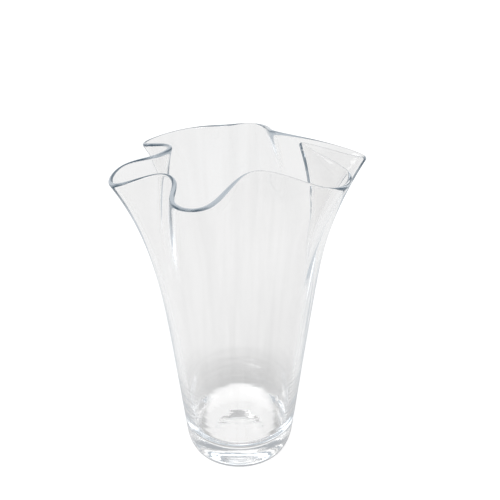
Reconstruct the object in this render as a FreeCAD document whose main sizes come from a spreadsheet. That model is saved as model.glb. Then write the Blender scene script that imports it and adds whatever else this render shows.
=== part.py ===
"""Fan vase: one piece of clear glass, a heavy round foot and a wall drawn up into six soft folds.

Millimetres, +Z up. The origin is the middle of the foot, on the plane that the vase stands on.
The back of the vase is towards +Y and its widest fold points towards +X.
"""

import FreeCAD, Part
import math
import os

import Sketcher
from FreeCAD import Vector

# Every driving size, in the order in which the vase is built from the table up: alias, value, meaning.
SIZES = [
    ("foot_radius", 40.5, "outer radius of the wall's straight line where it meets the table"),
    ("shoulder_radius", 49.0, "outer radius at the height where the folds begin"),
    ("fold_height", 75.0, "height at which the round wall begins to fold"),
    ("heel_height", 14.0, "height at which the wall starts to curve in to the heel"),
    ("heel_curve", 34.0, "radius of the long curve from the wall to the heel"),
    ("heel_edge", 4.0, "radius of the polished edge between heel and standing ring"),
    ("hollow_radius", 21.0, "radius of the shallow hollow under the foot"),
    ("hollow_depth", 3.5, "depth of the hollow in the middle of the foot"),
    ("floor_height", 15.5, "height of the cavity's floor, the thickness of the heavy base"),
    ("bowl_radius", 17.0, "radius of the round corner between floor and wall inside"),
    ("foot_wall", 6.0, "thickness that the wall's taper has at the table"),
    ("rim_wall", 3.2, "thickness of the wall at the rim, and of its round lip"),
    ("nominal_height", 240.0, "height of the rim of the same vase before it is folded"),
    ("mouth_radius", 90.0, "reach of the widest fold from the axis, on the middle of the glass"),
    ("deep_fold_height", 248.4, "height of the rim's middle at the deepest fold"),
    ("wide_fold_height", 232.4, "height of the rim's middle at the widest fold"),
]

# The rim seen from above, on the middle of the glass: heading in degrees and share of the mouth radius.
# Each line is one fold: the flank going out, the tip, the flank coming in and the dip beside it.
RIM_HEADINGS_AND_SHARES = [
    (11, 0.89), (17, 0.99), (29, 0.69), (47, 0.43),
    (67, 0.62), (80, 0.83), (91, 0.73), (101, 0.66),
    (119, 0.80), (146, 0.86), (155, 0.72), (169, 0.52),
    (181, 0.62), (182, 0.86), (198, 0.94), (208, 0.68), (227, 0.65),
    (238, 0.82), (256, 0.77), (286, 0.45),
    (321, 0.78), (342, 0.85), (355, 0.68), (16, 0.51),
]

# Heading, in degrees, of the glass below the first place of the rim, where the wall is still round.
FIRST_SEAT_HEADING = 1.1
# How suddenly the folds grow towards the rim: the power of the height above the fold line.
FOLD_POWER = 3.8
# Steps along the rim between two neighbouring places of its table.
RIM_STEPS = 16
# Rounds in which the rim's spline settles onto the places of the table.
SPLINE_ROUNDS = 50
# Upright sections that the wall is lofted through. They lie closer where the rim turns more.
SECTION_COUNT = 66
# Shares of the height between fold line and rim at which each section's wall is placed.
SECTION_SHARES = [0.30, 0.50, 0.66, 0.80, 0.91, 1.0]
# Small step of that share, up and down, that gives the direction in which the wall rises.
SLOPE_STEP_SHARE = 0.002
# The revolved base and the folded wall overlap between these shares of the two flat faces they
# have in common: the floor of the cavity and the standing ring.
WALL_CORE_SHARE = 0.2
BASE_CORE_SHARE = 0.5


def make_sheet(doc):
    """Writes the driving sizes into a spreadsheet, one alias a row."""
    sheet = doc.addObject("Spreadsheet::Sheet", "Sizes")
    for row, (alias, value, meaning) in enumerate(SIZES, start=1):
        sheet.set(f"A{row}", alias)
        sheet.set(f"B{row}", str(value))
        sheet.set(f"C{row}", meaning)
        sheet.setAlias(f"B{row}", alias)
    doc.recompute()
    return sheet


def lean_slope(sheet):
    """Growth of the wall's radius with height below the folds."""
    return (sheet.shoulder_radius - sheet.foot_radius) / sheet.fold_height


def wall_thickness(sheet, height):
    """Thickness of the glass, which thins evenly from the foot to the rim."""
    return sheet.foot_wall + (sheet.rim_wall - sheet.foot_wall) * height / sheet.nominal_height


def middle_radius(sheet, height):
    """Radius of the middle of the round wall."""
    lean = math.atan(lean_slope(sheet))
    at_table = sheet.foot_radius - sheet.foot_wall / 2 / math.cos(lean)
    return at_table + lean_slope(sheet) * height


def wall_edge(sheet, height, side):
    """Radius and height on the outer (side 1) or inner (side -1) face of the round wall."""
    lean = math.atan(lean_slope(sheet))
    half = side * wall_thickness(sheet, height) / 2
    return Vector(middle_radius(sheet, height) + half * math.cos(lean), height - half * math.sin(lean), 0)


def face_direction(sheet, side):
    """Unit vector up the outer or inner face of the round wall, in radius and height."""
    return (wall_edge(sheet, sheet.nominal_height, side) - wall_edge(sheet, 0, side)).normalize()


class FootProfile:
    """Half section of the foot and the round wall: x is the radius and y the height."""

    def __init__(self, sheet):
        self.outer_top = wall_edge(sheet, sheet.fold_height, 1)
        self.inner_top = wall_edge(sheet, sheet.fold_height, -1)
        self.place_heel(sheet)
        self.place_bowl(sheet)
        floor_flat, ring_flat = core_radii(sheet, WALL_CORE_SHARE)
        self.core_floor = Vector(floor_flat, sheet.floor_height, 0)
        self.core_ring = Vector(ring_flat, 0, 0)

    def place_heel(self, sheet):
        """The long heel curve touches the outer face, and the small edge touches it and the table."""
        up = face_direction(sheet, 1)
        inward = Vector(-up.y, up.x, 0)
        start = wall_edge(sheet, 0, 1)
        self.heel_top = start + up * ((sheet.heel_height - start.y) / up.y)
        self.heel_centre = self.heel_top + inward * sheet.heel_curve
        rise = sheet.heel_edge - self.heel_centre.y
        between = sheet.heel_curve - sheet.heel_edge
        self.edge_centre = Vector(
            self.heel_centre.x + math.sqrt(between ** 2 - rise ** 2), sheet.heel_edge, 0)
        outward = (self.edge_centre - self.heel_centre).normalize()
        self.heel_bottom = self.edge_centre + outward * sheet.heel_edge
        self.ring_edge = Vector(self.edge_centre.x, 0, 0)

    def place_bowl(self, sheet):
        """The bowl's round corner touches the inner face and the floor."""
        up = face_direction(sheet, -1)
        inward = Vector(-up.y, up.x, 0)
        start = wall_edge(sheet, 0, -1)
        centre_height = sheet.floor_height + sheet.bowl_radius
        along = (centre_height - start.y - inward.y * sheet.bowl_radius) / up.y
        self.bowl_top = start + up * along
        self.bowl_centre = self.bowl_top + inward * sheet.bowl_radius
        self.floor_edge = Vector(self.bowl_centre.x, sheet.floor_height, 0)


def core_radii(sheet, share):
    """Radii, at a share of the flat faces, on the cavity's floor and on the standing ring."""
    on_floor = (sheet.foot_radius - sheet.bowl_radius) * share
    on_ring = sheet.hollow_radius + (sheet.foot_radius - sheet.hollow_radius) * share
    return on_floor, on_ring


def spline_poles(places):
    """Poles of the closed, even cubic spline that passes through the places."""
    poles = list(places)
    count = len(places)
    for _ in range(SPLINE_ROUNDS):
        poles = [
            (places[i] * 6 - poles[i - 1] - poles[(i + 1) % count]) / 4 for i in range(count)]
    return poles


def spline_point(poles, place):
    """Point of the closed cubic spline, at a place counted in poles."""
    first = int(place)
    s = place - first
    weights = ((1 - s) ** 3, 3 * s ** 3 - 6 * s ** 2 + 4, -3 * s ** 3 + 3 * s ** 2 + 3 * s + 1, s ** 3)
    point = Vector(0, 0, 0)
    for step, weight in enumerate(weights):
        point += poles[(first - 1 + step) % len(poles)] * (weight / 6)
    return point


def turned(point, heading):
    """Puts a point of the half section, radius and height, on the upright plane of a heading."""
    return Vector(point.x * math.cos(heading), point.x * math.sin(heading), point.y)


class FoldedWall:
    """The folded wall as a sheet of glass about its own middle.

    The glass leaves the round wall at the fold line and reaches the folded rim at share 1 of the
    way up. Equal lengths of the rim come from equal angles of the round wall, as when hot glass is
    drawn out evenly, so the folds lean a little and the wall keeps its thickness all round.
    """

    def __init__(self, sheet, profile):
        self.sheet = sheet
        self.profile = profile
        places = []
        for heading, share in RIM_HEADINGS_AND_SHARES:
            places.append(turned(Vector(sheet.mouth_radius * share, 0, 0), math.radians(heading)))
        poles = spline_poles(places)
        self.count = RIM_STEPS * len(places)
        self.rim = [spline_point(poles, step / RIM_STEPS) for step in range(self.count)]
        self.deepest_share = min(share for heading, share in RIM_HEADINGS_AND_SHARES)

        lengths = [0.0]
        turns = [0.0]
        for step in range(self.count):
            before = self.rim[step] - self.rim[step - 1]
            after = self.rim[(step + 1) % self.count] - self.rim[step]
            lengths.append(lengths[-1] + after.Length)
            turns.append(turns[-1] + before.getAngle(after))
        self.run_shares = [length / lengths[-1] for length in lengths]
        self.turn_shares = [turn / turns[-1] for turn in turns]

    def seat(self, step):
        """Heading of the round wall below one step of the rim."""
        return math.radians(FIRST_SEAT_HEADING) + 2 * math.pi * self.run_shares[step % self.count]

    def rim_height(self, point):
        """The rim stands highest at its deepest fold and lowest at its widest."""
        sheet = self.sheet
        drawn_in = (1 - point.Length / sheet.mouth_radius) / (1 - self.deepest_share)
        return sheet.wide_fold_height + (sheet.deep_fold_height - sheet.wide_fold_height) * drawn_in

    def middle(self, step, share):
        """Point on the middle of the glass."""
        sheet = self.sheet
        height = sheet.fold_height + share * (sheet.nominal_height - sheet.fold_height)
        folded = share ** FOLD_POWER
        rim = self.rim[step % self.count]
        round_wall = turned(Vector(middle_radius(sheet, height), height, 0), self.seat(step))
        lifted = Vector(rim.x, rim.y, height + self.rim_height(rim) - sheet.nominal_height)
        return round_wall * (1 - folded) + lifted * folded

    def directions(self, step, share):
        """Unit vectors out of the glass and up along it."""
        along = self.middle(step + 1, share) - self.middle(step - 1, share)
        rise = self.middle(step, share + SLOPE_STEP_SHARE) - self.middle(step, share - SLOPE_STEP_SHARE)
        outward = along.cross(rise).normalize()
        return outward, outward.cross(along).normalize()

    def face_points(self, step, side):
        """Points up the outer or the inner face, above the fold line."""
        sheet = self.sheet
        points = []
        for share in SECTION_SHARES:
            height = sheet.fold_height + share * (sheet.nominal_height - sheet.fold_height)
            outward = self.directions(step, share)[0]
            half = wall_thickness(sheet, height) / 2
            points.append(self.middle(step, share) + outward * (side * half))
        return points

    def section(self, step):
        """Upright section of the whole wall, from the standing ring over the lip to the floor."""
        profile = self.profile
        heading = self.seat(step)
        core_ring = turned(profile.core_ring, heading)
        ring_edge = turned(profile.ring_edge, heading)
        floor_edge = turned(profile.floor_edge, heading)
        core_floor = turned(profile.core_floor, heading)

        outward, upward = self.directions(step, 1.0)
        lip_top = self.middle(step, 1.0) + upward * (self.sheet.rim_wall / 2)
        outer = [turned(profile.heel_top, heading), turned(profile.outer_top, heading)]
        outer += self.face_points(step, 1)
        inner = [turned(profile.bowl_top, heading), turned(profile.inner_top, heading)]
        inner += self.face_points(step, -1)
        inner.reverse()
        return Part.Wire([
            Part.makeLine(core_ring, ring_edge),
            turned_arc(profile.edge_centre, profile.ring_edge, profile.heel_bottom, heading),
            turned_arc(profile.heel_centre, profile.heel_bottom, profile.heel_top, heading),
            curve_through(outer, outer[1] - outer[0], upward),
            Part.Arc(outer[-1], lip_top, inner[0]).toShape(),
            curve_through(inner, upward * -1, inner[-1] - inner[-2]),
            turned_arc(profile.bowl_centre, profile.bowl_top, profile.floor_edge, heading),
            Part.makeLine(floor_edge, core_floor),
            Part.makeLine(core_floor, core_ring),
        ])

    def section_steps(self):
        """Steps of the rim that get a section, spread by length and by turning alike."""
        steps = []
        for step in range(self.count):
            spread = (self.run_shares[step] + self.turn_shares[step]) / 2
            if spread * SECTION_COUNT >= len(steps):
                steps.append(step)
        return steps

    def solid(self):
        """The wall all round, as a closed loft through its upright sections."""
        sections = [self.section(step) for step in self.section_steps()]
        return Part.makeLoft(sections, True, True, True)


def turned_arc(centre, start, end, heading):
    """Arc of the half section, put on the upright plane of a heading."""
    to_middle = (start - centre + end - centre).normalize() * (start - centre).Length
    ends = [turned(point, heading) for point in (start, centre + to_middle, end)]
    return Part.Arc(*ends).toShape()


def curve_through(points, first_direction, last_direction):
    """Smooth edge through the points that leaves and arrives in the given directions."""
    curve = Part.BSplineCurve()
    curve.interpolate(Points=points, InitialTangent=first_direction, FinalTangent=last_direction)
    return curve.toShape()


def origin_plane(body, role):
    """One of the body's own origin planes."""
    return next(feature for feature in body.Origin.OriginFeatures if feature.Role == role)


def add_base(doc, sheet):
    """The middle of the heavy base: floor above, shallow hollow below, sloping seat for the wall."""
    body = doc.addObject("PartDesign::Body", "BaseCore")
    sketch = body.newObject("Sketcher::SketchObject", "BaseSection")
    sketch.AttachmentSupport = [(origin_plane(body, "XZ_Plane"), "")]
    sketch.MapMode = "FlatFace"

    reach, depth = sheet.hollow_radius, sheet.hollow_depth
    hollow_curve = (reach ** 2 + depth ** 2) / (2 * depth)
    floor_flat, ring_flat = core_radii(sheet, BASE_CORE_SHARE)
    hollow_centre = Vector(0, depth - hollow_curve, 0)
    hollow_edge = Vector(reach, 0, 0)
    hollow_top = Vector(0, depth, 0)
    ring_end = Vector(ring_flat, 0, 0)
    floor_end = Vector(floor_flat, sheet.floor_height, 0)
    floor_middle = Vector(0, sheet.floor_height, 0)
    circle = Part.Circle(hollow_centre, Vector(0, 0, 1), hollow_curve)
    hollow, ring, seat, floor, axis = range(5)
    sketch.addGeometry([
        Part.ArcOfCircle(circle, circle.parameter(hollow_edge), circle.parameter(hollow_top)),
        Part.LineSegment(hollow_edge, ring_end),
        Part.LineSegment(ring_end, floor_end),
        Part.LineSegment(floor_end, floor_middle),
        Part.LineSegment(floor_middle, hollow_top),
    ], False)

    start, end, centre = 1, 2, 3
    table_line, axis_line = -1, -2
    sketch.addConstraint([
        Sketcher.Constraint("Coincident", hollow, start, ring, start),
        Sketcher.Constraint("Coincident", ring, end, seat, start),
        Sketcher.Constraint("Coincident", seat, end, floor, start),
        Sketcher.Constraint("Coincident", floor, end, axis, start),
        Sketcher.Constraint("Coincident", axis, end, hollow, end),
        Sketcher.Constraint("PointOnObject", hollow, centre, axis_line),
        Sketcher.Constraint("PointOnObject", hollow, end, axis_line),
        Sketcher.Constraint("PointOnObject", floor, end, axis_line),
        Sketcher.Constraint("PointOnObject", ring, start, table_line),
        Sketcher.Constraint("PointOnObject", ring, end, table_line),
        Sketcher.Constraint("Horizontal", floor),
    ])
    on_floor = f"(Sizes.foot_radius - Sizes.bowl_radius) * {BASE_CORE_SHARE}"
    on_ring = f"Sizes.hollow_radius + (Sizes.foot_radius - Sizes.hollow_radius) * {BASE_CORE_SHARE}"
    for kind, place, value, expression in (
            ("DistanceX", (ring, start), reach, "Sizes.hollow_radius"),
            ("DistanceX", (ring, end), ring_flat, on_ring),
            ("DistanceX", (floor, start), floor_flat, on_floor),
            ("DistanceY", (floor, start), sheet.floor_height, "Sizes.floor_height"),
            ("DistanceY", (axis, end), depth, "Sizes.hollow_depth")):
        index = sketch.addConstraint(Sketcher.Constraint(kind, *place, value))
        sketch.setExpression(f"Constraints[{index}]", expression)

    revolution = body.newObject("PartDesign::Revolution", "BaseTurned")
    revolution.Profile = sketch
    revolution.ReferenceAxis = (sketch, ["V_Axis"])
    revolution.Angle = 360
    return body


def add_folded_wall(doc, sheet):
    """The wall from the standing ring to the rim, drawn out into its folds."""
    wall = doc.addObject("Part::Feature", "FoldedWall")
    wall.Shape = FoldedWall(sheet, FootProfile(sheet)).solid()
    return wall


def add_vase(doc, base, wall):
    """The vase is blown in one piece, so base and wall are one solid."""
    vase = doc.addObject("Part::MultiFuse", "Vase")
    vase.Shapes = [base, wall]
    vase.Refine = True
    vase.Label = "vase"
    return vase


def check_document(doc, subparts):
    """Stops before anything is written if an object failed or a sub-part isn't one valid solid."""
    for item in doc.Objects:
        if "Invalid" in item.State or "Error" in item.State:
            raise RuntimeError(f"{item.Label} failed: {item.State}")
    for item in subparts:
        shape = item.Shape
        if shape.isNull() or not shape.isValid() or len(shape.Solids) != 1:
            raise RuntimeError(f"{item.Label} isn't one valid solid")


def main():
    """Builds the vase and writes its file."""
    doc = FreeCAD.newDocument("FanVase")
    sheet = make_sheet(doc)
    vase = add_vase(doc, add_base(doc, sheet), add_folded_wall(doc, sheet))
    doc.recompute()
    check_document(doc, [vase])
    os.makedirs("parts", exist_ok=True)
    vase.Shape.exportStep(f"parts/{vase.Label}.step")
    print(f"{vase.Label}: volume {vase.Shape.Volume:.0f} mm3, box {vase.Shape.BoundBox}")


main()
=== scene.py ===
import math

import bpy
import numpy as np
from bpy.props import FloatProperty, FloatVectorProperty, PointerProperty
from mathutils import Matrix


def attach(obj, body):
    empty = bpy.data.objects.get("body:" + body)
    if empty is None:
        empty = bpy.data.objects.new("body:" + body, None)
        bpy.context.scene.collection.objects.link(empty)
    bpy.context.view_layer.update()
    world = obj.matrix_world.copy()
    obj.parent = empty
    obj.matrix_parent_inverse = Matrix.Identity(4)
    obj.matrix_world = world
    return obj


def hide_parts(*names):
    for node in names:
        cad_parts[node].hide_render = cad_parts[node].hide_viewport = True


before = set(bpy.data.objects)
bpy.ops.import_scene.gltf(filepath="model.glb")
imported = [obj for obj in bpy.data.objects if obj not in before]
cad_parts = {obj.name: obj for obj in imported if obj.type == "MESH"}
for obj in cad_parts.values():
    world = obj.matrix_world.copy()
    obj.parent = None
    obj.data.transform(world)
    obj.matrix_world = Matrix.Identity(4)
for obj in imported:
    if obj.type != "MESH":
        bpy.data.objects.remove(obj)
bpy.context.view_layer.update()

bl_info = {
    "name": "Fan Vase",
    "version": (1, 0, 0),
    "blender": (4, 5, 0),
    "location": "3D View > Sidebar > Fan Vase",
    "description": "Builds a clear glass fan vase with six soft folds, and a plain stage to show it on",
    "category": "Add Mesh",
}

NODE = "vase"

# The rim seen from above, on the middle of the glass: heading in degrees and share of the mouth radius.
# Each line is one fold: the flank going out, the tip, the flank coming in and the dip beside it.
RIM_HEADINGS_AND_SHARES = (
    (11, 0.89), (17, 0.99), (29, 0.69), (47, 0.43),
    (67, 0.62), (80, 0.83), (91, 0.73), (101, 0.66),
    (119, 0.80), (146, 0.86), (155, 0.72), (169, 0.52),
    (181, 0.62), (182, 0.86), (198, 0.94), (208, 0.68), (227, 0.65),
    (238, 0.82), (256, 0.77), (286, 0.45),
    (321, 0.78), (342, 0.85), (355, 0.68), (16, 0.51),
)
# Steps of the mesh along the rim between two places of the table above.
RIM_STEPS = 20
# Rounds after which the poles of the rim's spline no longer move.
SPLINE_ROUNDS = 50
# Rows of the mesh on each stretch of the vase's section.
WALL_ROWS = 40
STRAIGHT_ROWS = 16
LIP_ROWS = 14
CURVE_ROWS = 16
FLAT_ROWS = 6
# Share of the way up the folds over which the direction of the wall is taken.
DIRECTION_SHARE = 0.002
# Where the mesh bends by more than this, it is shaded as an edge.
SHARP_ANGLE = math.radians(40)
# Corners of the round floor.
FLOOR_CORNERS = 96

# Factors that leave only the level part of a place.
LEVEL_ONLY = (1.0, 1.0, 0.0)
# Value about which a noise swings.
NOISE_MIDDLE = 0.5
# How much the rings near the foot are drawn out round the vase: the lower, the longer.
RING_LEVEL_SCALE = 0.12
# Values of the noise between which the painted shade at the tips goes from its least to full.
TIP_NOISE_LOW = 0.38
TIP_NOISE_HIGH = 0.60
TIP_LEAST = 0.4
# Share of the tips' height at which they begin.
TIP_START_SHARE = 0.9
# The reflection inside the glass after which caught light is shown, and how near counts as that one.
CAUGHT_REFLECTION = 4.0
CAUGHT_WITHIN = 0.5

WHITE = (1.0, 1.0, 1.0, 1.0)
BLACK = (0.0, 0.0, 0.0, 1.0)
# Red, green and blue of the room's slate and ceiling, as shares of their grey.
SLATE_SHARES = (1.0, 1.06, 1.13)
CEILING_SHARES = (1.0, 1.01, 1.02)
# How far back a direction points where the room's back begins to show, and where it shows alone.
BACK_BEGINS = -0.2
BACK_ALONE = 0.4
# Where a ramp's new stop is put before it goes to its own place.
NEW_STOP = 0.5


def length(name, description, metres):
    """A size in metres that the panel shows as a length."""
    return FloatProperty(name=name, description=description, default=metres, min=0.0, unit="LENGTH")


def amount(name, description, value, least=0.0):
    """A plain number that isn't a length."""
    return FloatProperty(name=name, description=description, default=value, min=least)


def angle(name, description, degrees):
    """An angle that the panel shows in degrees."""
    return FloatProperty(
        name=name, description=description, default=math.radians(degrees), subtype="ANGLE")


def colour(name, description, value):
    """A colour."""
    return FloatVectorProperty(
        name=name, description=description, default=value, subtype="COLOR", min=0.0, max=1.0)


class FanVaseSizes(bpy.types.PropertyGroup):
    """Sizes of the glass."""

    foot_radius: length("Foot radius", "Outer radius of the wall's straight line at the table", 0.0405)
    shoulder_radius: length("Shoulder radius", "Outer radius where the folds begin", 0.049)
    fold_height: length("Fold height", "Height at which the round wall begins to fold", 0.075)
    heel_height: length("Heel height", "Height at which the wall starts to curve in", 0.014)
    heel_curve: length("Heel curve", "Radius of the long curve from the wall to the heel", 0.034)
    heel_edge: length("Heel edge", "Radius of the polished edge beside the standing ring", 0.004)
    hollow_radius: length("Hollow radius", "Radius of the shallow hollow under the foot", 0.021)
    hollow_depth: length("Hollow depth", "Depth of that hollow in its middle", 0.0035)
    floor_height: length("Floor height", "Height of the cavity's floor above the table", 0.0155)
    bowl_radius: length("Bowl radius", "Radius of the corner between floor and wall inside", 0.017)
    foot_wall: length("Foot wall", "Thickness that the wall's taper has at the table", 0.006)
    rim_wall: length("Rim wall", "Thickness of the glass at the rim", 0.0032)
    nominal_height: length("Nominal height", "Height of the rim before it is folded", 0.240)
    mouth_radius: length("Mouth radius", "Reach of the widest fold from the axis", 0.090)
    deep_fold_height: length("Deep fold height", "Height of the rim at its deepest fold", 0.2484)
    wide_fold_height: length("Wide fold height", "Height of the rim at its widest fold", 0.2324)
    fold_power: amount("Fold power", "How suddenly the folds grow towards the rim", 3.8, 1.0)
    first_seat: angle("First seat", "Heading of the round glass below the first place of the rim", 1.1)


class FanVaseGlass(bpy.types.PropertyGroup):
    """Look of the glass."""

    tint: colour("Tint", "Colour of the glass", (0.985, 0.983, 0.981))
    # Painted reflection: the streak tint darkens streaks up the wall that stand in for the room mirrored
    # in the glass.
    painted_streak_tint: colour("Streak tint", "Colour of the soft streaks up the wall", (0.945, 0.943, 0.941))
    streak_scale: amount("Streak scale", "How close the streaks are round the wall", 7.0)
    streak_wander: amount("Streak wander", "How much the streaks change on their way up", 1.2)
    streak_contrast: amount("Streak contrast", "How clearly the streaks stand out", 3.5)
    # Painted glow: the glass emits this colour at the rim, standing in for light caught inside the wall.
    painted_edge_glow: colour("Edge tint", "Colour of the light caught inside the wall", (0.52, 0.57, 0.62))
    # Painted shade: the glow at the rim is darkened towards this colour at the tips of the folds.
    painted_tip_shade: colour("Tip tint", "Colour of that light at the tips of the folds", (0.03, 0.07, 0.11))
    tip_radius: length("Tip radius", "Distance from the axis at which the tips begin", 0.044)
    tip_blend: length("Tip blend", "Distance over which they reach full strength", 0.022)
    tip_height: length("Tip height", "Height at which they are full", 0.222)
    tip_scale: amount("Tip scale", "How close the uneven places at the tips are", 60.0)
    refraction: amount("Refraction", "Index of refraction of the glass", 1.5, 1.0)
    ripple_depth: length("Ripple depth", "Depth of the ripples left by drawing the glass", 0.00008)
    ripple_scale: amount("Ripple scale", "How close the ripples are", 45.0)
    ripple_stretch: amount("Ripple stretch", "Closeness of the ripples up the wall against round it", 0.25)
    ring_depth: amount("Ring depth", "Depth of the rings near the foot against the ripples'", 6.0)
    ring_scale: amount("Ring scale", "How close the rings near the foot are", 170.0)
    ring_top: length("Ring top", "Height at which the rings have faded away", 0.11)


class FanVaseStage(bpy.types.PropertyGroup):
    """Floor, room, light and camera."""

    floor_radius: length("Floor radius", "Radius of the pale floor", 4.0)
    air_gap: length("Air gap", "Thin gap of air between the standing ring and the floor", 0.0002)
    floor_white: FloatProperty(
        name="Floor white", description="Share of light that the pale floor scatters",
        default=0.4, max=1.0)
    seen_directly: amount("Seen directly", "White of the floor where the camera sees it", 0.82)
    seen_through: amount("Seen through glass", "White of the floor behind the glass", 0.585)
    gathered_light: amount("Gathered light", "Light that the foot gathers on the floor below it", 0.53)
    gathered_radius: length("Gathered radius", "Radius of the floor that this light reaches", 0.037)
    gathered_shift: length("Gathered shift", "Distance that this light lies behind the axis", 0.014)
    gathered_stretch: amount("Gathered stretch", "How much longer than wide this light is", 1.27, 1.0)
    gathered_share: FloatProperty(
        name="Gathered share", description="Share of its radius in which this light is full",
        default=0.8, min=0.0, max=1.0)
    near_shadow: amount("Near shadow", "White that the floor close behind the glass loses", 0.23)
    near_radius: length("Near radius", "Radius of the floor that this shadow reaches", 0.12)
    near_share: FloatProperty(
        name="Near share", description="Share of its radius in which this shadow is full",
        default=0.5, min=0.0, max=1.0)
    near_shift: length("Near shift", "Distance that this shadow lies behind the axis", 0.014)
    haze_grey: amount("Haze grey", "Grey of the room near the horizon", 0.88)
    wall_tint: colour("Wall tint", "Colour of the room's walls", (0.70, 0.71, 0.72))
    front_white: amount("Front white", "White of the wide soft light high in front", 1.05)
    ceiling_grey: amount("Ceiling grey", "Grey of the room overhead", 0.55)
    back_grey: amount("Back grey", "Grey of the room high behind the vase", 0.42)
    light_place: FloatVectorProperty(
        name="Light place", description="Middle of the soft window light",
        default=(-0.6, -0.9, 1.2), subtype="TRANSLATION")
    light_width: length("Light width", "Width of the soft window light", 0.7)
    light_stretch: amount("Light stretch", "How much taller than wide that light is", 1.5)
    light_power: amount("Light power", "Power of that light in watts", 7.0)
    camera_distance: length("Camera distance", "Level distance of the camera from the axis", 0.525)
    camera_height: length("Camera height", "Height of the camera above the floor", 0.4622)
    camera_pitch: angle("Camera pitch", "Angle that the camera looks down by", 29.0)
    camera_turn: angle("Camera turn", "Angle that the camera is turned to the right", 0.9)
    camera_lens: amount("Camera lens", "Focal length in millimetres", 60.7, 1.0)


class FootSection:
    """Half section of the foot and the round wall, as pairs of radius and height."""

    def __init__(self, sizes):
        self.sizes = sizes
        self.slope = (sizes.shoulder_radius - sizes.foot_radius) / sizes.fold_height
        self.lean = math.atan(self.slope)

    def thickness(self, height):
        """Thickness of the glass, which thins evenly from the foot to the rim."""
        sizes = self.sizes
        return sizes.foot_wall + (sizes.rim_wall - sizes.foot_wall) * height / sizes.nominal_height

    def middle_radius(self, height):
        """Radius of the middle of the round wall."""
        sizes = self.sizes
        return sizes.foot_radius - sizes.foot_wall / 2 / math.cos(self.lean) + self.slope * height

    def wall_edge(self, height, side):
        """Place on the outer (side 1) or inner (side -1) face of the round wall."""
        half = side * self.thickness(height) / 2
        radius = self.middle_radius(height) + half * math.cos(self.lean)
        return np.array((radius, height - half * math.sin(self.lean)))

    def face_line(self, side):
        """Start of a face at the table, and the unit vectors up it and towards the axis."""
        start = self.wall_edge(0.0, side)
        up = self.wall_edge(self.sizes.nominal_height, side) - start
        up /= np.linalg.norm(up)
        return start, up, np.array((-up[1], up[0]))

    def underside(self):
        """Hollow, standing ring, polished edge, heel and outer wall, from the middle outwards."""
        sizes = self.sizes
        reach, depth = sizes.hollow_radius, sizes.hollow_depth
        curve = (reach ** 2 + depth ** 2) / (2 * depth)
        hollow_centre = np.array((0.0, depth - curve))

        start, up, inward = self.face_line(1)
        heel_top = start + up * ((sizes.heel_height - start[1]) / up[1])
        heel_centre = heel_top + inward * sizes.heel_curve
        rise = sizes.heel_edge - heel_centre[1]
        between = sizes.heel_curve - sizes.heel_edge
        edge_reach = heel_centre[0] + math.sqrt(between ** 2 - rise ** 2)
        edge_centre = np.array((edge_reach, sizes.heel_edge))
        outward = (edge_centre - heel_centre) / between
        heel_bottom = edge_centre + outward * sizes.heel_edge

        rows = arc_rows(hollow_centre, (0.0, depth), (reach, 0.0), CURVE_ROWS)[1:]
        rows += line_rows((reach, 0.0), (edge_reach, 0.0), FLAT_ROWS)[1:]
        rows += arc_rows(edge_centre, (edge_reach, 0.0), heel_bottom, CURVE_ROWS)[1:]
        rows += arc_rows(heel_centre, heel_bottom, heel_top, CURVE_ROWS)[1:]
        rows += line_rows(heel_top, self.wall_edge(sizes.fold_height, 1), STRAIGHT_ROWS)[1:]
        return rows

    def cavity(self):
        """Inner face, bowl and floor, from the fold line down towards the middle of the floor."""
        sizes = self.sizes
        start, up, inward = self.face_line(-1)
        centre_height = sizes.floor_height + sizes.bowl_radius
        along = (centre_height - start[1] - inward[1] * sizes.bowl_radius) / up[1]
        bowl_top = start + up * along
        bowl_centre = bowl_top + inward * sizes.bowl_radius
        floor_edge = np.array((bowl_centre[0], sizes.floor_height))

        rows = line_rows(self.wall_edge(sizes.fold_height, -1), bowl_top, STRAIGHT_ROWS)
        rows += arc_rows(bowl_centre, bowl_top, floor_edge, CURVE_ROWS)[1:]
        rows += line_rows(floor_edge, (0.0, sizes.floor_height), FLAT_ROWS)[1:-1]
        return rows


def line_rows(start, end, count):
    """Evenly spaced places from start to end."""
    start, end = np.array(start), np.array(end)
    return [start + (end - start) * row / count for row in range(count + 1)]


def arc_rows(centre, start, end, count):
    """Evenly spaced places on the short arc from start to end."""
    first = math.atan2(start[1] - centre[1], start[0] - centre[0])
    last = math.atan2(end[1] - centre[1], end[0] - centre[0])
    turn = (last - first + math.pi) % (2 * math.pi) - math.pi
    radius = math.hypot(start[0] - centre[0], start[1] - centre[1])
    rows = []
    for row in range(count + 1):
        heading = first + turn * row / count
        across, up = radius * math.cos(heading), radius * math.sin(heading)
        rows.append(np.array((centre[0] + across, centre[1] + up)))
    return rows


def closed_spline(places, steps):
    """Closed, even cubic spline through the places, which are complex numbers."""
    poles = places
    for _ in range(SPLINE_ROUNDS):
        poles = (6 * places - np.roll(poles, 1) - np.roll(poles, -1)) / 4
    s = np.arange(steps) / steps
    weights = (
        (1 - s) ** 3,
        3 * s ** 3 - 6 * s ** 2 + 4,
        -3 * s ** 3 + 3 * s ** 2 + 3 * s + 1,
        s ** 3,
    )
    curve = sum(np.outer(np.roll(poles, 1 - order), weight) for order, weight in enumerate(weights))
    return (curve / 6).ravel()


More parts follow.
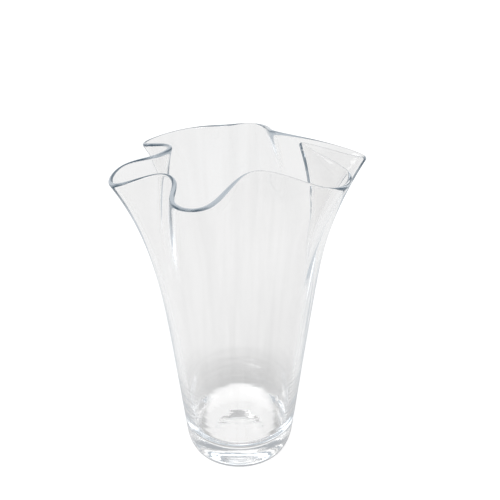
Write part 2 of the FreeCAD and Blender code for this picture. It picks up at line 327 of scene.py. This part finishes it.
class FoldedGlass:
    """The glass above the fold line: a sheet drawn from a circle out to the folded rim."""

    def __init__(self, sizes, section):
        self.sizes = sizes
        self.section = section
        headings, shares = np.array(RIM_HEADINGS_AND_SHARES).T
        places = sizes.mouth_radius * shares * np.exp(1j * np.radians(headings))
        self.rim = closed_spline(places, RIM_STEPS)
        runs = np.abs(np.roll(self.rim, -1) - self.rim)
        run_shares = np.concatenate(((0.0,), np.cumsum(runs)[:-1])) / runs.sum()
        self.seats = sizes.first_seat + 2 * math.pi * run_shares
        drawn_in = (1 - np.abs(self.rim) / sizes.mouth_radius) / (1 - shares.min())
        climb = sizes.deep_fold_height - sizes.wide_fold_height
        self.rim_heights = sizes.wide_fold_height + climb * drawn_in

    def round_row(self, place):
        """One row of the round glass, at a radius and height."""
        radius, height = place
        level = np.full(self.seats.shape, height)
        return np.stack((radius * np.cos(self.seats), radius * np.sin(self.seats), level), 1)

    def height(self, share):
        """Height that the unfolded wall has at a share of the way from fold line to rim."""
        return self.sizes.fold_height + share * (self.sizes.nominal_height - self.sizes.fold_height)

    def middle_row(self, share):
        """One row on the middle of the glass."""
        height = self.height(share)
        folded = share ** self.sizes.fold_power
        round_wall = self.round_row((self.section.middle_radius(height), height))
        lifted = height + self.rim_heights - self.sizes.nominal_height
        drawn = np.stack((self.rim.real, self.rim.imag, lifted), 1)
        return round_wall * (1 - folded) + drawn * folded

    def directions(self, share):
        """Unit vectors out of the glass and up along it, one pair for each step of the rim."""
        row = self.middle_row(share)
        along = np.roll(row, -1, 0) - np.roll(row, 1, 0)
        above = self.middle_row(share + DIRECTION_SHARE)
        rise = above - self.middle_row(max(share - DIRECTION_SHARE, 0.0))
        outward = unit(np.cross(along, rise))
        return outward, unit(np.cross(outward, along))

    def face_row(self, share, side):
        """One row of the outer (side 1) or the inner (side -1) face."""
        outward = self.directions(share)[0]
        half = self.section.thickness(self.height(share)) / 2
        return self.middle_row(share) + outward * (side * half)

    def lip_row(self, turn):
        """One row of the round lip, turned from the outer face over to the inner one."""
        outward, upward = self.directions(1.0)
        half = self.sizes.rim_wall / 2
        return self.middle_row(1.0) + (outward * math.cos(turn) + upward * math.sin(turn)) * half


def unit(vectors):
    """The vectors, each made one long."""
    return vectors / np.linalg.norm(vectors, axis=1)[:, None]


def glass_rows(sizes):
    """Every row of the vase's skin, from beside the hollow's middle round to beside the floor's."""
    section = FootSection(sizes)
    folded = FoldedGlass(sizes, section)
    shares = [row / WALL_ROWS for row in range(1, WALL_ROWS + 1)]
    rows = [folded.round_row(place) for place in section.underside()]
    rows += [folded.face_row(share, 1) for share in shares]
    rows += [folded.lip_row(math.pi * row / LIP_ROWS) for row in range(1, LIP_ROWS)]
    rows += [folded.face_row(share, -1) for share in reversed(shares)]
    rows += [folded.round_row(place) for place in section.cavity()]
    return rows


def skin_mesh(name, rows, first_point, last_point):
    """Closed mesh through rows of points, closed at both ends by a single point."""
    count = len(rows[0])
    points = np.concatenate([*rows, [first_point], [last_point]])
    first, last = len(points) - 2, len(points) - 1
    top = last - 1 - count
    faces = []
    for row in range(len(rows) - 1):
        low, high = row * count, (row + 1) * count
        for step in range(count):
            after = (step + 1) % count
            faces.append((low + step, low + after, high + after, high + step))
    for step in range(count):
        after = (step + 1) % count
        faces.append((first, after, step))
        faces.append((top + step, top + after, last))
    mesh = bpy.data.meshes.new(name)
    mesh.from_pydata(points.tolist(), [], faces)
    mesh.shade_smooth()
    mesh.set_sharp_from_angle(angle=SHARP_ANGLE)
    mesh.validate()
    return mesh


def add_node(tree, kind, **attributes):
    """Adds a shader node and sets its attributes."""
    node = tree.nodes.new(kind)
    for name, value in attributes.items():
        setattr(node, name, value)
    return node


def add_math(tree, operation):
    """Adds a node that works on numbers."""
    return add_node(tree, "ShaderNodeMath", operation=operation)


def add_vector_math(tree, operation):
    """Adds a node that works on vectors."""
    return add_node(tree, "ShaderNodeVectorMath", operation=operation)


def add_smooth_range(tree):
    """Adds a node that goes smoothly from one value to another."""
    return add_node(tree, "ShaderNodeMapRange", interpolation_type="SMOOTHSTEP")


def add_noise(tree, detail, roughness):
    """Adds a noise texture."""
    noise = add_node(tree, "ShaderNodeTexNoise")
    noise.inputs["Detail"].default_value = detail
    noise.inputs["Roughness"].default_value = roughness
    return noise


def add_colour_mix(tree, first, second):
    """Adds a mix of two colours, of which either may be linked later."""
    mix = add_node(tree, "ShaderNodeMix", data_type="RGBA")
    mix.inputs["A"].default_value = first
    mix.inputs["B"].default_value = second
    return mix


def add_level_place(tree, coordinates):
    """Adds the level part of the place on the object."""
    level = add_vector_math(tree, "MULTIPLY")
    level.inputs[1].default_value = LEVEL_ONLY
    tree.links.new(coordinates.outputs["Object"], level.inputs[0])
    return level


def start_group(name, input_names, output_name):
    """New shader node group of plain numbers: its tree, its input node and its output node."""
    tree = bpy.data.node_groups.new(name, "ShaderNodeTree")
    for input_name in input_names:
        tree.interface.new_socket(input_name, in_out="INPUT", socket_type="NodeSocketFloat")
    tree.interface.new_socket(output_name, in_out="OUTPUT", socket_type="NodeSocketFloat")
    return tree, add_node(tree, "NodeGroupInput"), add_node(tree, "NodeGroupOutput")


def place_group(tree, group, values):
    """Places a node group in a material and sets its inputs by their names."""
    node = add_node(tree, "ShaderNodeGroup", node_tree=group)
    for name, value in values.items():
        node.inputs[name].default_value = value
    return node


def ripple_group():
    """Faint ripples of hand-drawn glass: broad waves drawn out up the wall, and rings near the foot."""
    tree, inputs, outputs = start_group(
        "Drawn Glass Ripples", ("Scale", "Stretch", "Ring Scale", "Ring Depth", "Ring Top"), "Height")
    coordinates = add_node(tree, "ShaderNodeTexCoord")
    waves = stretched_noise(tree, coordinates, inputs.outputs["Scale"], inputs.outputs["Stretch"])
    rings = stretched_noise(tree, coordinates, inputs.outputs["Ring Scale"], None)
    parts = add_node(tree, "ShaderNodeSeparateXYZ")
    low = add_smooth_range(tree)
    low.inputs["From Max"].default_value = 0.0
    deep = add_math(tree, "MULTIPLY")
    height = add_math(tree, "MULTIPLY_ADD")
    tree.links.new(coordinates.outputs["Object"], parts.inputs["Vector"])
    tree.links.new(parts.outputs["Z"], low.inputs["Value"])
    tree.links.new(inputs.outputs["Ring Top"], low.inputs["From Min"])
    tree.links.new(low.outputs["Result"], deep.inputs[0])
    tree.links.new(inputs.outputs["Ring Depth"], deep.inputs[1])
    tree.links.new(rings.outputs["Fac"], height.inputs[0])
    tree.links.new(deep.outputs["Value"], height.inputs[1])
    tree.links.new(waves.outputs["Fac"], height.inputs[2])
    tree.links.new(height.outputs["Value"], outputs.inputs["Height"])
    return tree


def stretched_noise(tree, coordinates, scale, stretch):
    """Noise drawn out up the wall by a socket's value, or round the vase where there is none."""
    factors = add_node(tree, "ShaderNodeCombineXYZ")
    level = 1.0 if stretch else RING_LEVEL_SCALE
    factors.inputs["X"].default_value = level
    factors.inputs["Y"].default_value = level
    factors.inputs["Z"].default_value = 1.0
    if stretch:
        tree.links.new(stretch, factors.inputs["Z"])
    scaled = add_vector_math(tree, "MULTIPLY")
    noise = add_noise(tree, detail=1.5, roughness=0.4)
    tree.links.new(coordinates.outputs["Object"], scaled.inputs[0])
    tree.links.new(factors.outputs["Vector"], scaled.inputs[1])
    tree.links.new(scaled.outputs["Vector"], noise.inputs["Vector"])
    tree.links.new(scale, noise.inputs["Scale"])
    return noise


def painted_streak_group():
    """Mask of the painted streaks of reflection that run up the wall, by their heading from the axis."""
    tree, inputs, outputs = start_group("Painted Reflection Streaks", ("Scale", "Wander", "Contrast"), "Mask")
    coordinates = add_node(tree, "ShaderNodeTexCoord")
    level = add_level_place(tree, coordinates)
    heading = add_vector_math(tree, "NORMALIZE")
    parts = add_node(tree, "ShaderNodeSeparateXYZ")
    climb = add_math(tree, "MULTIPLY")
    lift = add_node(tree, "ShaderNodeCombineXYZ")
    place = add_vector_math(tree, "ADD")
    noise = add_noise(tree, detail=3.0, roughness=0.55)
    swing = add_math(tree, "SUBTRACT")
    swing.inputs[1].default_value = NOISE_MIDDLE
    sharp = add_math(tree, "MULTIPLY_ADD")
    sharp.use_clamp = True
    sharp.inputs[2].default_value = NOISE_MIDDLE
    tree.links.new(level.outputs["Vector"], heading.inputs[0])
    tree.links.new(coordinates.outputs["Object"], parts.inputs["Vector"])
    tree.links.new(parts.outputs["Z"], climb.inputs[0])
    tree.links.new(inputs.outputs["Wander"], climb.inputs[1])
    tree.links.new(climb.outputs["Value"], lift.inputs["Z"])
    tree.links.new(heading.outputs["Vector"], place.inputs[0])
    tree.links.new(lift.outputs["Vector"], place.inputs[1])
    tree.links.new(place.outputs["Vector"], noise.inputs["Vector"])
    tree.links.new(inputs.outputs["Scale"], noise.inputs["Scale"])
    tree.links.new(noise.outputs["Fac"], swing.inputs[0])
    tree.links.new(swing.outputs["Value"], sharp.inputs[0])
    tree.links.new(inputs.outputs["Contrast"], sharp.inputs[1])
    tree.links.new(sharp.outputs["Value"], outputs.inputs["Mask"])
    return tree


def shaded_tip_group():
    """Mask of the painted shade at the tips of the folds, uneven along them."""
    tree, inputs, outputs = start_group(
        "Painted Fold Tip Shade", ("Radius", "Blend", "Height", "Scale"), "Mask")
    coordinates = add_node(tree, "ShaderNodeTexCoord")
    level = add_level_place(tree, coordinates)
    radius = add_vector_math(tree, "LENGTH")
    outer = add_math(tree, "ADD")
    tips = add_smooth_range(tree)
    noise = add_noise(tree, detail=2.0, roughness=0.5)
    uneven = add_node(tree, "ShaderNodeMapRange")
    uneven.inputs["From Min"].default_value = TIP_NOISE_LOW
    uneven.inputs["From Max"].default_value = TIP_NOISE_HIGH
    uneven.inputs["To Min"].default_value = TIP_LEAST
    uneven_tips = add_math(tree, "MULTIPLY")
    parts = add_node(tree, "ShaderNodeSeparateXYZ")
    start = add_math(tree, "MULTIPLY")
    start.inputs[1].default_value = TIP_START_SHARE
    near_rim = add_smooth_range(tree)
    mask = add_math(tree, "MULTIPLY")
    tree.links.new(level.outputs["Vector"], radius.inputs[0])
    tree.links.new(radius.outputs["Value"], tips.inputs["Value"])
    tree.links.new(inputs.outputs["Radius"], outer.inputs[0])
    tree.links.new(inputs.outputs["Blend"], outer.inputs[1])
    tree.links.new(inputs.outputs["Radius"], tips.inputs["From Min"])
    tree.links.new(outer.outputs["Value"], tips.inputs["From Max"])
    tree.links.new(coordinates.outputs["Object"], noise.inputs["Vector"])
    tree.links.new(inputs.outputs["Scale"], noise.inputs["Scale"])
    tree.links.new(noise.outputs["Fac"], uneven.inputs["Value"])
    tree.links.new(tips.outputs["Result"], uneven_tips.inputs[0])
    tree.links.new(uneven.outputs["Result"], uneven_tips.inputs[1])
    tree.links.new(coordinates.outputs["Object"], parts.inputs["Vector"])
    tree.links.new(parts.outputs["Z"], near_rim.inputs["Value"])
    tree.links.new(inputs.outputs["Height"], start.inputs[0])
    tree.links.new(start.outputs["Value"], near_rim.inputs["From Min"])
    tree.links.new(inputs.outputs["Height"], near_rim.inputs["From Max"])
    tree.links.new(near_rim.outputs["Result"], mask.inputs[0])
    tree.links.new(uneven_tips.outputs["Value"], mask.inputs[1])
    tree.links.new(mask.outputs["Value"], outputs.inputs["Mask"])
    return tree


def clear_glass(look):
    """Clear, fire-polished glass with the faint ripples of hand work and painted streaks of reflection."""
    material = bpy.data.materials.new("Clear Glass")
    material.use_nodes = True
    tree = material.node_tree
    glass = tree.nodes["Principled BSDF"]
    glass.inputs["Roughness"].default_value = 0.0
    glass.inputs["IOR"].default_value = look.refraction
    glass.inputs["Transmission Weight"].default_value = 1.0
    ripples = place_group(tree, ripple_group(), {
        "Scale": look.ripple_scale, "Stretch": look.ripple_stretch,
        "Ring Scale": look.ring_scale, "Ring Depth": look.ring_depth, "Ring Top": look.ring_top})
    bump = add_node(tree, "ShaderNodeBump")
    bump.inputs["Distance"].default_value = look.ripple_depth
    tree.links.new(ripples.outputs["Height"], bump.inputs["Height"])
    tree.links.new(bump.outputs["Normal"], glass.inputs["Normal"])

    # Painted reflection: darker streaks of tint up the wall stand in for the room's reflection and
    # refraction in the glass.
    streaks = place_group(tree, painted_streak_group(), {
        "Scale": look.streak_scale, "Wander": look.streak_wander, "Contrast": look.streak_contrast})
    body = add_colour_mix(tree, (*look.tint, 1.0), (*look.painted_streak_tint, 1.0))
    tree.links.new(streaks.outputs["Mask"], body.inputs["Factor"])
    tree.links.new(body.outputs["Result"], glass.inputs["Base Color"])

    # Light caught between the two faces would be lost in the render and leave the rim black. It is painted
    # instead as a glow from the glass on rays after their fourth reflection, and painted shade makes that
    # glow darker at the tips of the folds.
    path = add_node(tree, "ShaderNodeLightPath")
    caught = add_math(tree, "COMPARE")
    caught.inputs[1].default_value = CAUGHT_REFLECTION
    caught.inputs[2].default_value = CAUGHT_WITHIN
    # Painted shade: a mask by radius, height and noise darkens the glow at the tips of the folds.
    shaded_tips = place_group(tree, shaded_tip_group(), {
        "Radius": look.tip_radius, "Blend": look.tip_blend,
        "Height": look.tip_height, "Scale": look.tip_scale})
    tone = add_colour_mix(tree, (*look.painted_edge_glow, 1.0), (*look.painted_tip_shade, 1.0))
    painted_glow = add_colour_mix(tree, BLACK, BLACK)
    tree.links.new(path.outputs["Glossy Depth"], caught.inputs[0])
    tree.links.new(caught.outputs["Value"], painted_glow.inputs["Factor"])
    tree.links.new(shaded_tips.outputs["Mask"], tone.inputs["Factor"])
    tree.links.new(tone.outputs["Result"], painted_glow.inputs["B"])
    tree.links.new(painted_glow.outputs["Result"], glass.inputs["Emission Color"])
    glass.inputs["Emission Strength"].default_value = 1.0
    return material


def shown_mask(tree):
    """The light path, and 1 for rays that show the floor: seen, mirrored or through the glass."""
    path = add_node(tree, "ShaderNodeLightPath")
    seen = add_math(tree, "MAXIMUM")
    shown = add_math(tree, "MAXIMUM")
    tree.links.new(path.outputs["Is Camera Ray"], seen.inputs[0])
    tree.links.new(path.outputs["Is Glossy Ray"], seen.inputs[1])
    tree.links.new(seen.outputs["Value"], shown.inputs[0])
    tree.links.new(path.outputs["Is Transmission Ray"], shown.inputs[1])
    return path, shown


def floor_distance(tree, coordinates, shift, stretch):
    """Distance on the floor from a place behind the axis, with its depth divided by the stretch."""
    moved = add_vector_math(tree, "SUBTRACT")
    moved.inputs[1].default_value = (0.0, shift, 0.0)
    narrowed = add_vector_math(tree, "DIVIDE")
    narrowed.inputs[1].default_value = (1.0, stretch, 1.0)
    distance = add_vector_math(tree, "LENGTH")
    tree.links.new(coordinates.outputs["Object"], moved.inputs[0])
    tree.links.new(moved.outputs["Vector"], narrowed.inputs[0])
    tree.links.new(narrowed.outputs["Vector"], distance.inputs[0])
    return distance


def pale_floor(stage):
    """Floor that the camera sees as white, and that is greyer where the glass shows it.

    It scatters a little light, which keeps a soft shadow. Where the glass shows it, a lighter place
    stands for the light that the heavy foot gathers, and a darker one for the shadow close behind.
    """
    material = bpy.data.materials.new("Pale Floor")
    material.use_nodes = True
    tree = material.node_tree
    tree.nodes.remove(tree.nodes["Principled BSDF"])
    output = tree.nodes["Material Output"]
    path, shown = shown_mask(tree)
    coordinates = add_node(tree, "ShaderNodeTexCoord")
    from_shadow = floor_distance(tree, coordinates, stage.near_shift, 1.0)
    from_light = floor_distance(tree, coordinates, stage.gathered_shift, stage.gathered_stretch)
    gathered = add_smooth_range(tree)
    gathered.inputs["From Min"].default_value = stage.gathered_radius
    gathered.inputs["From Max"].default_value = stage.gathered_radius * stage.gathered_share
    gathered.inputs["To Min"].default_value = stage.seen_through
    gathered.inputs["To Max"].default_value = stage.seen_through + stage.gathered_light
    shaded = add_smooth_range(tree)
    shaded.inputs["From Min"].default_value = stage.near_radius
    shaded.inputs["From Max"].default_value = stage.near_radius * stage.near_share
    shaded.inputs["To Max"].default_value = stage.near_shadow
    through = add_math(tree, "SUBTRACT")
    lift = add_math(tree, "MULTIPLY")
    brighter = add_math(tree, "MAXIMUM")
    direct = add_math(tree, "MULTIPLY")
    direct.inputs[1].default_value = stage.seen_directly
    pale = stage.floor_white
    scatter = add_node(tree, "ShaderNodeBsdfDiffuse")
    scatter.inputs["Color"].default_value = (pale, pale, pale, 1.0)
    glow = add_node(tree, "ShaderNodeEmission")
    both = add_node(tree, "ShaderNodeAddShader")
    tree.links.new(from_light.outputs["Value"], gathered.inputs["Value"])
    tree.links.new(from_shadow.outputs["Value"], shaded.inputs["Value"])
    tree.links.new(gathered.outputs["Result"], through.inputs[0])
    tree.links.new(shaded.outputs["Result"], through.inputs[1])
    tree.links.new(shown.outputs["Value"], lift.inputs[0])
    tree.links.new(through.outputs["Value"], lift.inputs[1])
    tree.links.new(path.outputs["Is Camera Ray"], direct.inputs[0])
    tree.links.new(direct.outputs["Value"], brighter.inputs[0])
    tree.links.new(lift.outputs["Value"], brighter.inputs[1])
    tree.links.new(brighter.outputs["Value"], glow.inputs["Strength"])
    tree.links.new(scatter.outputs["BSDF"], both.inputs[0])
    tree.links.new(glow.outputs["Emission"], both.inputs[1])
    tree.links.new(both.outputs["Shader"], output.inputs["Surface"])
    return material


def height_ramp(tree, height, stops):
    """Colour of the room by height. A stop is the sine of an elevation and the colour there."""
    ramp = add_node(tree, "ShaderNodeValToRGB")
    elements = ramp.color_ramp.elements
    while len(elements) < len(stops):
        elements.new(NEW_STOP)
    for element, (place, tint) in zip(elements, stops):
        element.position = place
        element.color = (*tint, 1.0)
    tree.links.new(height, ramp.inputs["Fac"])
    return ramp.outputs["Color"]


def studio_world(stage):
    """A pale room, which the glass shows: haze near the horizon and walls above it.

    High up it has a wide soft light in front, slate grey behind, and a ceiling. The camera itself
    sees plain white.
    """
    world = bpy.data.worlds.new("Soft Studio")
    world.use_nodes = True
    tree = world.node_tree
    background = tree.nodes["Background"]
    coordinates = add_node(tree, "ShaderNodeTexCoord")
    parts = add_node(tree, "ShaderNodeSeparateXYZ")
    tree.links.new(coordinates.outputs["Generated"], parts.inputs["Vector"])
    haze = (stage.haze_grey, stage.haze_grey, stage.haze_grey)
    wall = stage.wall_tint
    light = (stage.front_white, stage.front_white, stage.front_white)
    slate = [stage.back_grey * share for share in SLATE_SHARES]
    ceiling = [stage.ceiling_grey * share for share in CEILING_SHARES]
    front = height_ramp(tree, parts.outputs["Z"], (
        (0.0, haze), (0.22, haze), (0.32, wall), (0.58, wall),
        (0.66, light), (0.86, light), (0.92, ceiling)))
    back = height_ramp(tree, parts.outputs["Z"], (
        (0.0, haze), (0.22, haze), (0.32, wall), (0.34, wall),
        (0.42, slate), (0.62, slate), (0.78, ceiling)))
    behind = add_smooth_range(tree)
    behind.inputs["From Min"].default_value = BACK_BEGINS
    behind.inputs["From Max"].default_value = BACK_ALONE
    room = add_node(tree, "ShaderNodeMix", data_type="RGBA")
    path = add_node(tree, "ShaderNodeLightPath")
    seen = add_colour_mix(tree, WHITE, WHITE)
    tree.links.new(parts.outputs["Y"], behind.inputs["Value"])
    tree.links.new(behind.outputs["Result"], room.inputs["Factor"])
    tree.links.new(front, room.inputs["A"])
    tree.links.new(back, room.inputs["B"])
    tree.links.new(path.outputs["Is Camera Ray"], seen.inputs["Factor"])
    tree.links.new(room.outputs["Result"], seen.inputs["A"])
    tree.links.new(seen.outputs["Result"], background.inputs["Color"])
    return world


def add_object(name, data):
    """Puts new data into the scene as an object."""
    made = bpy.data.objects.new(name, data)
    bpy.context.scene.collection.objects.link(made)
    return made


class FANVASE_OT_blow_glass(bpy.types.Operator):
    """Build the glass of the vase"""

    bl_idname = "fan_vase.blow_glass"
    bl_label = "Blow Glass"

    def execute(self, context):
        sizes = context.scene.fan_vase_sizes
        top_of_hollow = (0.0, 0.0, sizes.hollow_depth)
        middle_of_floor = (0.0, 0.0, sizes.floor_height)
        mesh = skin_mesh("vase_glass", glass_rows(sizes), top_of_hollow, middle_of_floor)
        mesh.materials.append(clear_glass(context.scene.fan_vase_glass))
        glass = add_object("vase_glass", mesh)
        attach(glass, "root")
        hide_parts(NODE)
        return {"FINISHED"}


class FANVASE_OT_set_stage(bpy.types.Operator):
    """Lay the floor, light the room and place the camera"""

    bl_idname = "fan_vase.set_stage"
    bl_label = "Set Stage"

    def execute(self, context):
        stage = context.scene.fan_vase_stage
        bpy.ops.mesh.primitive_circle_add(
            vertices=FLOOR_CORNERS, radius=stage.floor_radius, fill_type="NGON",
            location=(0.0, 0.0, -stage.air_gap))
        floor = context.object
        floor.name = "floor"
        floor.data.materials.append(pale_floor(stage))
        context.scene.world = studio_world(stage)
        context.scene.view_settings.view_transform = "Standard"

        light = bpy.data.lights.new("window", "AREA")
        light.shape = "RECTANGLE"
        light.size = stage.light_width
        light.size_y = stage.light_width * stage.light_stretch
        light.energy = stage.light_power
        window = add_object("window", light)
        window.location = stage.light_place
        window.rotation_euler = (-window.location).to_track_quat("-Z", "Y").to_euler()

        camera = add_object("camera", bpy.data.cameras.new("camera"))
        camera.data.lens = stage.camera_lens
        camera.location = (0.0, -stage.camera_distance, stage.camera_height)
        camera.rotation_euler = (math.pi / 2 - stage.camera_pitch, 0.0, -stage.camera_turn)
        context.scene.camera = camera
        return {"FINISHED"}


class FANVASE_PT_panel(bpy.types.Panel):
    """Sizes and steps of the fan vase"""

    bl_idname = "FANVASE_PT_panel"
    bl_label = "Fan Vase"
    bl_space_type = "VIEW_3D"
    bl_region_type = "UI"
    bl_category = "Fan Vase"

    def draw(self, context):
        scene = context.scene
        for group in (scene.fan_vase_sizes, scene.fan_vase_glass, scene.fan_vase_stage):
            column = self.layout.column(align=True)
            for name in group.__annotations__:
                column.prop(group, name)
        for operator in OPERATORS:
            self.layout.operator(operator.bl_idname)


OPERATORS = (FANVASE_OT_blow_glass, FANVASE_OT_set_stage)
CLASSES = (FanVaseSizes, FanVaseGlass, FanVaseStage, *OPERATORS, FANVASE_PT_panel)


def register():
    """Registers the classes and their settings on the scene."""
    for made in CLASSES:
        bpy.utils.register_class(made)
    bpy.types.Scene.fan_vase_sizes = PointerProperty(type=FanVaseSizes)
    bpy.types.Scene.fan_vase_glass = PointerProperty(type=FanVaseGlass)
    bpy.types.Scene.fan_vase_stage = PointerProperty(type=FanVaseStage)


def unregister():
    """Takes the classes and their settings away again."""
    del bpy.types.Scene.fan_vase_stage
    del bpy.types.Scene.fan_vase_glass
    del bpy.types.Scene.fan_vase_sizes
    for made in reversed(CLASSES):
        bpy.utils.unregister_class(made)


def main():
    """Builds the vase and its stage."""
    register()
    bpy.ops.fan_vase.blow_glass()
    bpy.ops.fan_vase.set_stage()


if __name__ == "__main__":
    main()
